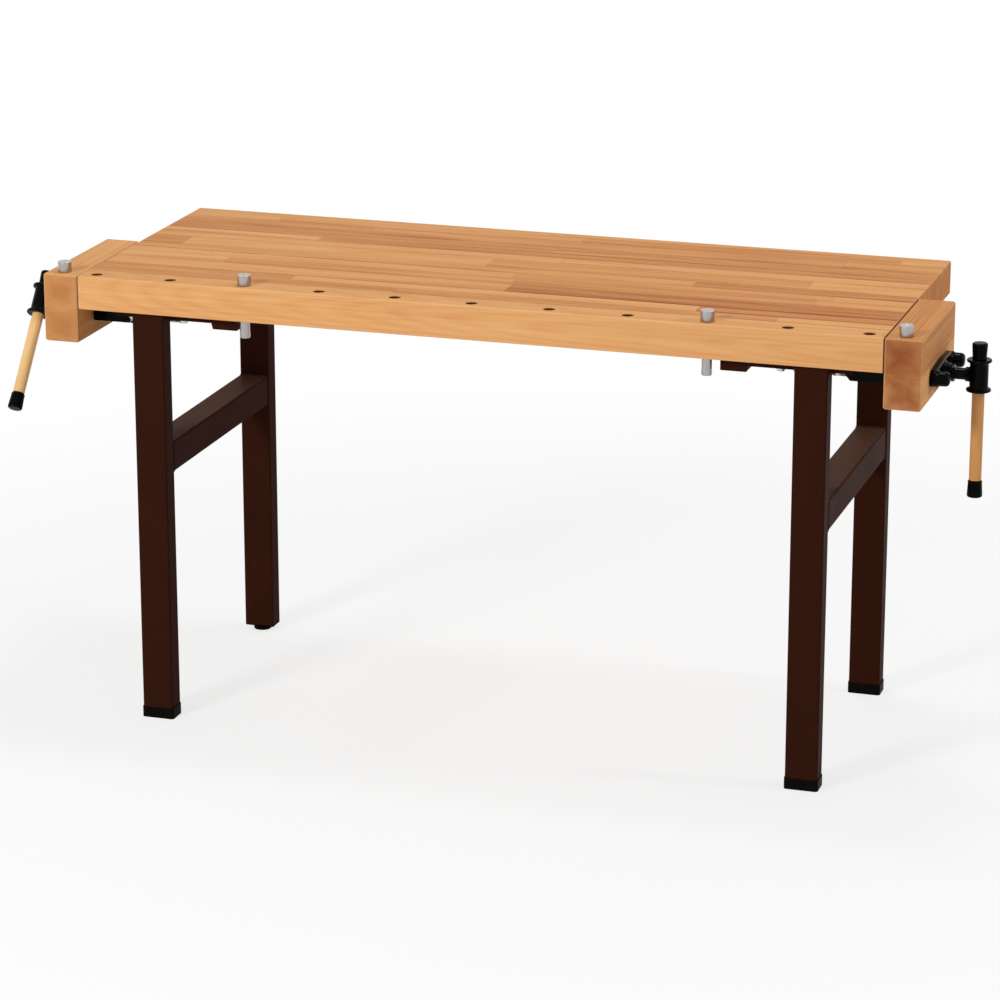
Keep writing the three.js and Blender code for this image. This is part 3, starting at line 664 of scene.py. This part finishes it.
def mesh_of(*grids):
    """One mesh from grids of points whose rows close on themselves. Each cell is a face, doubled points at
    seams and poles are merged, and sharp edges stay crisp."""
    points, faces, count = [], [], 0
    for grid in grids:
        rows, cols = grid.shape[:2]
        index = np.arange(rows * cols).reshape(rows, cols) + count
        beside = np.roll(index, -1, axis=1)
        cells = np.stack([index[:-1], beside[:-1], beside[1:], index[1:]], axis=-1)
        points.append(grid.reshape(-1, 3))
        faces.append(cells.reshape(-1, 4))
        count += rows * cols
    mesh = bpy.data.meshes.new("surface")
    mesh.from_pydata(np.vstack(points).tolist(), [], np.vstack(faces).tolist())
    work = bmesh.new()
    work.from_mesh(mesh)
    bmesh.ops.remove_doubles(work, verts=work.verts, dist=DOUBLED)
    bmesh.ops.recalc_face_normals(work, faces=work.faces)
    settle(mesh, work)
    mesh.set_sharp_from_angle(angle=CRISP)
    return mesh


def piece(name, mesh, finish, node, stands_for=True):
    """An object at the origin that moves with a node's body and wears the finish's material. It stands for
    the node, as a rule."""
    made = bpy.data.objects.new(name, mesh)
    bpy.context.scene.collection.objects.link(made)
    mesh.materials.append(finish.material)
    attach(made, frame["nodes"][node]["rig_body"])
    if stands_for:
        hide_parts(node)
    return made


def softened(node, finish, bevel):
    """A copy of a solid with its triangles joined into flat faces. A bevel of this width, in millimetres,
    rounds its sharp edges, and the large faces keep their own direction in the shading."""
    mesh = bpy.data.meshes.new(node)
    work = bmesh.new()
    work.from_mesh(frame["nodes"][node].data)
    bmesh.ops.remove_doubles(work, verts=work.verts, dist=DOUBLED)
    bmesh.ops.dissolve_limit(work, angle_limit=SAME_PLANE, verts=work.verts, edges=work.edges)
    settle(mesh, work)
    made = piece(f"{node}_eased", mesh, finish, node)
    rounding = made.modifiers.new("rounded_edges", "BEVEL")
    rounding.width = bevel * MM
    rounding.segments = 2
    rounding.limit_method = "ANGLE"
    rounding.angle_limit = BEVELLED
    rounding.use_clamp_overlap = False
    made.modifiers.new("flat_faces", "WEIGHTED_NORMAL").weight = 100


# Finishes shared by several pieces

paint = brown_paint()
grip_plastic = black_plastic(
    "grip_plastic", tint=(0.0008, 0.0008, 0.0009), worn=(0.0026, 0.0023, 0.0022), shine=0.04, rough=0.17
)
foot_plastic = black_plastic(
    "foot_plastic", tint=(0.004, 0.0034, 0.003), worn=(0.008, 0.0066, 0.0058), shine=0.008, rough=0.34
)
casting = black_enamel("black_enamel", lump=0.00020, rough=0.14)
machined = black_enamel("black_machined", lump=0.00005, rough=0.12)
zinc = zinc_plate()
cast_bronze = bronze()


# Worktop

TOP_TINT = (0.48, 0.190, 0.070)


def worktop():
    """The top: staves along its length, of uneven width, with one long pale board at the front."""
    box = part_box("worktop")
    finish = glued_beech(
        "laminated_beech",
        box,
        grain=(0, 1, 2),
        start=box[0].y,
        stave=0.0440,
        uneven=0.22,
        boards=(0.50, 0.55),
        tone=0.12,
        pale_first=0.8,
        end_tint=TOP_TINT,
        seed=3.0,
        holes=(0.0, HOLE_PITCH),
    )
    softened("worktop", finish, bevel=0.5)


# End frames, with sizes in millimetres

BOLT_HEAD = 5.5
BOLT_WASHER = 9.2
BOLT_WASHER_THICK = 1.4
BOLT_SHANK = 4.0
WELD = 1.7
WELD_INSET = 0.2
WELD_PATH = 400
WELD_STEPS = 180
WELD_SIDES = 10
RAIL_CORNER = 4.0


def end_frame(side):
    """The painted steel: two legs, the rail between them and the bearer under the top."""
    for end in ENDS:
        softened(f"{side}_{end}_leg", paint, bevel=0.3)
    softened(f"{side}_side_rail", paint, bevel=0.4)
    softened(f"{side}_top_bearer", paint, bevel=0.5)


def flange_bolt(node):
    """A hexagon bolt with a thin washer face, its head below the plate and its shank up in the wood."""
    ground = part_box(node)[0].z
    origin = upright_axis(node, ground)
    top = heights(node, ground)[1]
    seat = BOLT_HEAD - BOLT_WASHER_THICK
    head = hexagon(half_size(node).y, 0.0, seat + 0.2, 1.4, origin)
    washer = [(0, seat), (BOLT_WASHER, seat), (BOLT_WASHER, BOLT_HEAD), (0, BOLT_HEAD)]
    shank = [(0, seat + 0.4), (BOLT_SHANK, seat + 0.4), (BOLT_SHANK, top), (0, top)]
    mesh = mesh_of(head, turned(washer, origin, UP, 0.4, 40), turned(shank, origin, UP, 0.8, 24))
    piece(f"{node}_head", mesh, zinc, node)


def rail_weld(side, end):
    """The bead of weld round the end of a side rail. Its path is a rounded square: a smaller square plus
    the corner radius in each direction, then points at equal steps along that. The bead is a small circle
    carried round the path, in the plane of the outward direction and the rail's own, and its size ripples
    as a weld's does."""
    rail = f"{side}_side_rail"
    low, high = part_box(rail)
    half = (high.x - low.x) / 2
    angle = np.arange(WELD_PATH) / WELD_PATH * TURN
    way = np.stack([np.cos(angle), np.sin(angle)], axis=1)
    flat = np.clip(way * 10, -1, 1) * (half - RAIL_CORNER * MM) + way * RAIL_CORNER * MM
    loop = np.hstack([flat, way])
    loop = np.vstack([loop, loop[:1]])
    run = np.append(0.0, np.cumsum(np.linalg.norm(np.diff(loop[:, :2], axis=0), axis=1)))
    step = np.arange(WELD_STEPS)
    u, v, across, rise = (np.interp(step / WELD_STEPS * run[-1], run, column) for column in loop.T)
    none = np.zeros_like(u)
    reach = ENDS[end] * (high.y - WELD_INSET * MM)
    path = np.stack([middle(rail).x + u, none + reach, middle(rail).z + v], axis=1)
    outward = np.stack([across, none, rise], axis=1)
    turn = np.arange(WELD_SIDES)[None, :, None] / WELD_SIDES * TURN
    circle = np.cos(turn) * outward[:, None] + np.sin(turn) * np.array([0.0, 1.0, 0.0])
    ripple = 1.0 + 0.10 * np.sin(step * 2.1) + 0.06 * np.sin(step * 0.7)
    bead = path[:, None] + WELD * MM * ripple[:, None, None] * circle
    mesh = mesh_of(np.concatenate([bead, bead[:1]]))
    piece(f"{side}_{end}_rail_weld", mesh, paint, rail, stands_for=False)


# Feet, with sizes in millimetres

STEM = 5.0
STEM_ROOT = 4.2
STEM_LEAD = 1.5


def feet():
    """Three moulded caps, and the threaded plug of the leg that has the levelling foot."""
    for node in ("left_front_foot_cap", "right_front_foot_cap", "right_back_foot_cap"):
        softened(node, foot_plastic, bevel=0.5)
    softened("levelling_plug", foot_plastic, bevel=0.4)


def levelling_foot():
    """A threaded stem with a thin hexagon to turn it by, and the round glide that it turns in."""
    start, stop = heights("levelling_screw", 0.0)
    _, top = heights("levelling_pad", 0.0)
    stem = threaded(STEM_ROOT, STEM, STEM_LEAD, start, stop, LEVEL_SPOT, UP, 32, 8)
    thin_hexagon = hexagon(half_size("levelling_screw").y, top + 0.3, top + 1.7, 0.4, LEVEL_SPOT)
    piece("levelling_stem", mesh_of(stem, thin_hexagon), zinc, "levelling_screw")
    rim, bore, seat = half_size("levelling_pad").x, STEM + 0.5, start - 0.3
    glide = [
        (0, 0), (rim, 0, 2.0), (rim, 5.0, 1.0), (12.8, top), (10.0, top), (9.4, top - 0.5), (6.4, top - 0.5),
        (bore, top - 0.1), (bore, seat), (0, seat),
    ]
    piece("levelling_glide", mesh_of(turned(glide, LEVEL_SPOT, UP, 0.6)), foot_plastic, "levelling_pad")


# Bench dogs, with sizes in millimetres

DOG_SHANK = 9.0
DOG_SWELL = 9.6
DOG_TINT = (0.43, 0.40, 0.383)
DOG_DARK = (0.26, 0.24, 0.226)


def bench_dog(node):
    """A turned dog: a flat head with a broken edge and a shallow dish in its top, a relief groove under it,
    a shank and a swelled tail."""
    foot = upright_axis(node, TOP_Z)
    name = f"{node}_satin_alloy"
    along_z = (0.0, 0.0, 0.0)
    finish = turned_metal(name, foot, along_z, DOG_TINT, DOG_DARK, rough=0.30, metallic=0.94)
    tail, top = heights(node, TOP_Z)
    head, groove = half_size(node).x, DOG_SHANK - 0.5
    profile = [
        (0, tail), (DOG_SHANK, tail, 0.4), (DOG_SWELL, tail + 2.5), (DOG_SWELL, tail + 5.0),
        (DOG_SHANK, tail + 16.0), (DOG_SHANK, -3.0), (groove, -2.4), (groove, 0.3), (head, 0.3, 0.5),
        (head, top - 1.0), (head - 0.9, top), (3.2, top), (2.6, top - 0.5), (0, top - 0.7),
    ]
    piece(f"{node}_turned", mesh_of(turned(profile, foot, UP, 0.3, 72)), finish, node)


# Vises, with sizes in millimetres

JAW_TINT = {"left": (0.44, 0.175, 0.060), "right": (0.238, 0.046, 0.015)}
JAW_TONE = {"left": 0.11, "right": 0.21}
JAW_SEED = {"left": 11.0, "right": 17.0}
JAW_MARGIN = 2.0
# Painted light and shade: the same ash is paler on the left handle, lit from the left, and darker on the
# right one
HANDLE_PAINTED_SHADING = {"left": 0.02, "right": 0.50}
PLATE = 12.0
PLATE_END = 15.0
PLATE_MIDDLE = 25.0
SOCKET = 13.0
SOCKET_RISE = 22.3
COLLAR = 19.0
COLLAR_RISE = 11.0
SCREW = 10.5
SCREW_ROOT = 8.2
SCREW_LEAD = 6.0
SCREW_BORE = 11.0
SCREW_LAP = 2.0
PLAIN_INSET = 4.0
THRUST_RING = 6.0
THRUST_GAP = 0.3
HUB = 16.5
HUB_BORE = 11.5
NECK = 13.0
NECK_REACH = 23.4
GRIP_SEAT = 20.0
STEEL_TINT = (0.62, 0.62, 0.63)
STEEL_DARK = (0.36, 0.33, 0.30)


def jaw(side):
    """The jaw: two thick staves one on another with the grain from front to back."""
    low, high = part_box(f"{side}_jaw")
    finish = glued_beech(
        f"{side}_jaw_beech",
        (low, high),
        grain=(1, 2, 0),
        start=low.z - JAW_MARGIN * MM,
        stave=(high.z - low.z) / 2 + JAW_MARGIN * MM,
        uneven=0.0,
        boards=(0.9, 0.6),
        tone=JAW_TONE[side],
        pale_first=0.0,
        end_tint=JAW_TINT[side],
        seed=JAW_SEED[side],
        holes=(middle(f"{side}_jaw_dog").x, 1.0),
    )
    softened(f"{side}_jaw", finish, bevel=0.7)


def flange_plate(out, inner, centres):
    """The plate of the flange: outlines round three circles, one above another, from the bore on the jaw's
    side out to the rim, up and back to the bore on the outer side. Inset and height follow eased corners."""
    steps = eased([(2.0, 0.0), (0.0, 0.0, 0.7), (0.0, PLATE, 3.2), (8.0, PLATE)], 0.0)
    radii = [PLATE_END, PLATE_MIDDLE, PLATE_END]
    bore = round_outline(centres[1:2], [SCREW_BORE], 0.0)
    outlines = [bore, *(round_outline(centres, radii, inset) for inset in steps[:, 0]), bore, bore]
    rises = [0.0, *steps[:, 1], PLATE, 0.0]
    rows = [np.column_stack([np.full(len(o), out * (inner + r) * MM), o]) for o, r in zip(outlines, rises)]
    return np.array(rows)


def flange(side):
    """The cast flange: a plate, domed guide sockets that flare at the foot, a collar of three rings round
    the bore and two button-headed screws."""
    out = SIDES[side]
    axis = (out, 0.0, 0.0)
    inner = span(f"{side}_vise_flange")[0]
    face = out * (inner + PLATE) * MM
    screw = middle(f"{side}_vise_screw")
    front, back = (middle(f"{side}_{end}_guide_rod") for end in ENDS)
    dome = [
        (0, -1), (SOCKET + 3, -1), (SOCKET + 3, 0), (SOCKET, 3.2, 2.5), (SOCKET, SOCKET_RISE, 9.0),
        (0, SOCKET_RISE),
    ]
    collar = [
        (SCREW_BORE, 5), (SCREW_BORE, -1), (COLLAR + 3.5, -1), (COLLAR + 3.5, 0.2), (COLLAR, 2.4, 1.5),
        (COLLAR, 5.0), (COLLAR - 1.6, 5.5), (COLLAR - 1.6, 6.3), (COLLAR - 0.8, 6.8), (COLLAR - 0.8, 8.6),
        (COLLAR - 2.8, 9.2), (COLLAR - 3, COLLAR_RISE), (SCREW_BORE, COLLAR_RISE), (SCREW_BORE, 5),
    ]
    button = [(0, -0.5), (4.7, -0.5), (4.7, 2.6, 1.6), (1.9, 2.6), (1.9, 1.0), (0, 1.0)]
    grids = [flange_plate(out, inner, [(front.y, front.z), (screw.y, screw.z), (back.y, back.z)])]
    grids.append(turned(collar, (face, screw.y, screw.z), axis, 0.7))
    for rod in (front, back):
        grids.append(turned(dome, (face, rod.y, rod.z), axis, 1.6))
        between = (rod + screw) / 2
        grids.append(turned(button, (face, between.y, between.z), axis, 0.4, 32))
    piece(f"{side}_cast_flange", mesh_of(*grids), casting, f"{side}_vise_flange")


def vise_screw(side):
    """The screw: a thread with sloping flanks for the nut, then plain shaft with a thrust ring."""
    node = f"{side}_vise_screw"
    axis = (SIDES[side], 0.0, 0.0)
    origin = level_axis(node)
    start, stop = span(node)
    shoulder = span(f"{side}_vise_flange")[0] + PLATE + COLLAR_RISE + THRUST_GAP
    plain = span(f"{side}_vise_bracket")[1] - PLAIN_INSET
    thrust = half_size(node).y
    shaft = [
        (0, plain - SCREW_LAP), (SCREW, plain - SCREW_LAP), (SCREW, shoulder), (thrust, shoulder),
        (thrust, shoulder + THRUST_RING), (SCREW, shoulder + THRUST_RING), (SCREW, stop), (0, stop),
    ]
    thread = threaded(SCREW_ROOT, SCREW, SCREW_LEAD, start, plain, origin, axis)
    mesh = mesh_of(thread, turned(shaft, origin, axis))
    piece(f"{side}_screw_thread", mesh, machined, node)


def handle_hub(side):
    """The hub: a barrel with rolled rims and an open eye for the handle, and a neck that flares into it.
    The right hub stands upright, so its box gives the size of both."""
    _, rim, half = half_size("right_handle_hub")
    upper = [(HUB_BORE, half, 1.5), (rim, half, 2.6), (rim, half - 4.8, 2.2), (HUB, half - 6.4, 2.4)]
    lower = [(radius, -height, ease) for radius, height, ease in upper[::-1]]
    barrel = [(HUB_BORE, 0.0), *upper, *lower, (HUB_BORE, 0.0)]
    start, flare, stop = -NECK_REACH, 5.9 - NECK_REACH, 8.9 - NECK_REACH
    neck = [(0, start), (NECK, start, 1.4), (NECK, flare, 2.0), (NECK + 2, stop), (0, stop)]
    spot = hub_spot(side)
    grids = [turned(barrel, spot, handle_way(side), 1.2, 72), turned(neck, spot, (SIDES[side], 0.0, 0.0))]
    piece(f"{side}_hub_casting", mesh_of(*grids), machined, f"{side}_handle_hub")


def handle(side):
    """The handle's wooden bar, and two tapered grips whose wide ends face away from the hub. A thin lip on
    each grip closes round the bar and reaches into the mouth of the hub. The right handle stands upright,
    so its boxes give the sizes of both."""
    up = handle_way(side)
    spot = np.array(hub_spot(side))
    ground = hub_spot("right").z
    low, high = heights("right_handle_bar", ground)
    thick = half_size("right_handle_bar").y
    bar = [(0, low), (thick, low, 1.4), (thick, high, 1.4), (0, high)]
    # Paler on the left handle and darker on the right: painted light and shade
    ash = turned_ash(side, HANDLE_PAINTED_SHADING[side])
    piece(f"{side}_turned_bar", mesh_of(turned(bar, spot, up, 1.0)), ash, f"{side}_handle_bar")
    wide = half_size("right_handle_grip_upper").y
    upper, tip = heights("right_handle_grip_upper", ground)
    _, lower = heights("right_handle_grip_lower", ground)
    length = tip - upper
    bore, inner, outer = thick + 0.5, thick + 0.1, thick + 0.3
    grip = [
        (0, GRIP_SEAT), (bore, GRIP_SEAT), (bore, 0.0), (inner, -0.6), (inner, -2.4), (outer, -2.4),
        (outer, 0.0), (wide - 1, 0.0, 0.9), (wide - 1.5, 3.0, 1.2), (wide, length, 4.0), (0, length - 0.5),
    ]
    for end, foot, axis in (("upper", upper, up), ("lower", lower, -up)):
        mesh = mesh_of(turned(grip, spot + up * foot * MM, axis, 0.9, 64))
        piece(f"{side}_moulded_grip_{end}", mesh, grip_plastic, f"{side}_handle_grip_{end}")


def bright_steel(node):
    """Turned bright steel about a node's own axis along X."""
    name = f"{node}_bright_steel"
    along_x = (0.0, TURN / 4, 0.0)
    return turned_metal(name, level_axis(node), along_x, STEEL_TINT, STEEL_DARK, rough=0.26, metallic=0.95)


def guides(side):
    """The two guide rods with turned ends, and the ring on the screw behind the flange."""
    axis = (SIDES[side], 0.0, 0.0)
    for end in ENDS:
        node = f"{side}_{end}_guide_rod"
        start, stop = span(node)
        thick = half_size(node).y
        nose = thick - 1.4
        rod = [(0, start), (nose, start), (thick, start + 1.6), (thick, stop - 1.6), (nose, stop), (0, stop)]
        mesh = mesh_of(turned(rod, level_axis(node), axis))
        piece(f"{side}_{end}_turned_rod", mesh, bright_steel(node), node)
    node = f"{side}_retaining_ring"
    start, stop = span(node)
    halfway = (start + stop) / 2
    bore, rim = SCREW_BORE, half_size(node).y
    ring = [(bore, halfway), (bore, start), (rim, start), (rim, stop), (bore, stop), (bore, halfway)]
    mesh = mesh_of(turned(ring, level_axis(node), axis))
    piece(f"{side}_turned_ring", mesh, bright_steel(node), node)


def bracket(side):
    """The cast bracket under the top that the rods slide in, its bronze nut and its four bolts."""
    softened(f"{side}_vise_bracket", casting, bevel=0.8)
    softened(f"{side}_vise_nut", cast_bronze, bevel=0.3)
    for count in range(1, 5):
        flange_bolt(f"{side}_bracket_bolt_{count}")


worktop()
feet()
levelling_foot()
for side in SIDES:
    end_frame(side)
    for end in ENDS:
        flange_bolt(f"{side}_{end}_arm_bolt")
        flange_bolt(f"{side}_{end}_lug_bolt")
        rail_weld(side, end)
    bench_dog(f"{side}_jaw_dog")
    bench_dog(f"{side}_top_dog")
    bracket(side)
    jaw(side)
    flange(side)
    vise_screw(side)
    handle_hub(side)
    handle(side)
    guides(side)


# Floor, light and camera

FLOOR_HALF = 40.0
SHADOW_REACH = (0.9, 2.6)
SHADOW_WHITE = 0.74


def pale_floor():
    """A wide pale floor that keeps the bench's shadow and turns to plain white further out."""
    x, y = np.meshgrid([-FLOOR_HALF, FLOOR_HALF], [-FLOOR_HALF, FLOOR_HALF])
    corners = np.stack([x, y, np.zeros_like(x)], axis=-1).reshape(-1, 3)
    mesh = bpy.data.meshes.new("floor")
    mesh.from_pydata(corners.tolist(), [], [(0, 1, 3, 2)])
    floor = bpy.data.objects.new("floor", mesh)
    bpy.context.scene.collection.objects.link(floor)
    finish = Finish("pale_floor", {"Roughness": 0.85, "Specular IOR Level": 0.1})
    spot = finish.place()
    x, y, _ = finish.split(spot)
    tooth = finish.noise(spot, 180.0, 2.0)
    colour = finish.mix(tooth, (0.90, 0.90, 0.90, 1.0), (0.93, 0.93, 0.93, 1.0))
    finish.lay(tooth, 0.0002, Base_Color=colour)
    far = ((x * x + y * y) ** 0.5).step(*SHADOW_REACH)
    share = (SHADOW_WHITE + far * (1.0 - SHADOW_WHITE)) * finish.plain_rays()
    white = finish.node("Emission", inputs={"Color": (1.0, 1.0, 1.0, 1.0), "Strength": 1.0})
    lit = Value(finish, finish.shader.outputs[0])
    blend = finish.node("MixShader", inputs={0: share, 1: lit, 2: white})
    finish.feed(finish.tree.nodes["Material Output"].inputs["Surface"], blend)
    mesh.materials.append(finish.material)


def studio_world(strength):
    """Soft even light from all round. What the camera, metal and glass see of it is plain white."""
    world = bpy.data.worlds.new("studio")
    bpy.context.scene.world = world
    world.use_nodes = True
    nodes = Nodes(world.node_tree)
    level = strength + nodes.plain_rays() * (1.0 - strength)
    back = nodes.node("Background", inputs={"Color": (1.0, 1.0, 1.0, 1.0), "Strength": level})
    nodes.feed(world.node_tree.nodes["World Output"].inputs["Surface"], back)


def aimed(name, data, place, aim):
    """A lamp or camera at a place, turned towards a point."""
    made = bpy.data.objects.new(name, data)
    bpy.context.scene.collection.objects.link(made)
    made.location = place
    made.rotation_euler = (Vector(aim) - Vector(place)).to_track_quat("-Z", "Y").to_euler()
    return made


def softbox(name, place, aim, width, height, watts):
    """A rectangular lamp turned towards a point."""
    data = bpy.data.lights.new(name, "AREA")
    data.shape = "RECTANGLE"
    data.size = width
    data.size_y = height
    data.energy = watts
    aimed(name, data, place, aim)


def eye_view(place, aim, lens):
    """The camera that the bench is seen from."""
    data = bpy.data.cameras.new("eye")
    data.sensor_width = 36.0
    data.lens = lens
    bpy.context.scene.camera = aimed("camera", data, place, aim)


pale_floor()
studio_world(strength=0.42)
softbox("key", place=(-2.4, -5.0, 3.0), aim=(0.0, -0.2, 0.7), width=1.2, height=0.9, watts=165.0)
softbox("fill", place=(4.6, 0.2, 3.0), aim=(0.6, 0.0, 0.6), width=0.5, height=0.5, watts=42.0)
softbox("over", place=(0.4, 0.6, 4.2), aim=(0.0, 0.0, 0.8), width=0.9, height=0.4, watts=34.0)
eye_view(place=(2.005, -6.454, 2.471), aim=(0.0024, -0.1157, 0.4375), lens=135.6)
bpy.context.scene.view_settings.view_transform = "Standard"
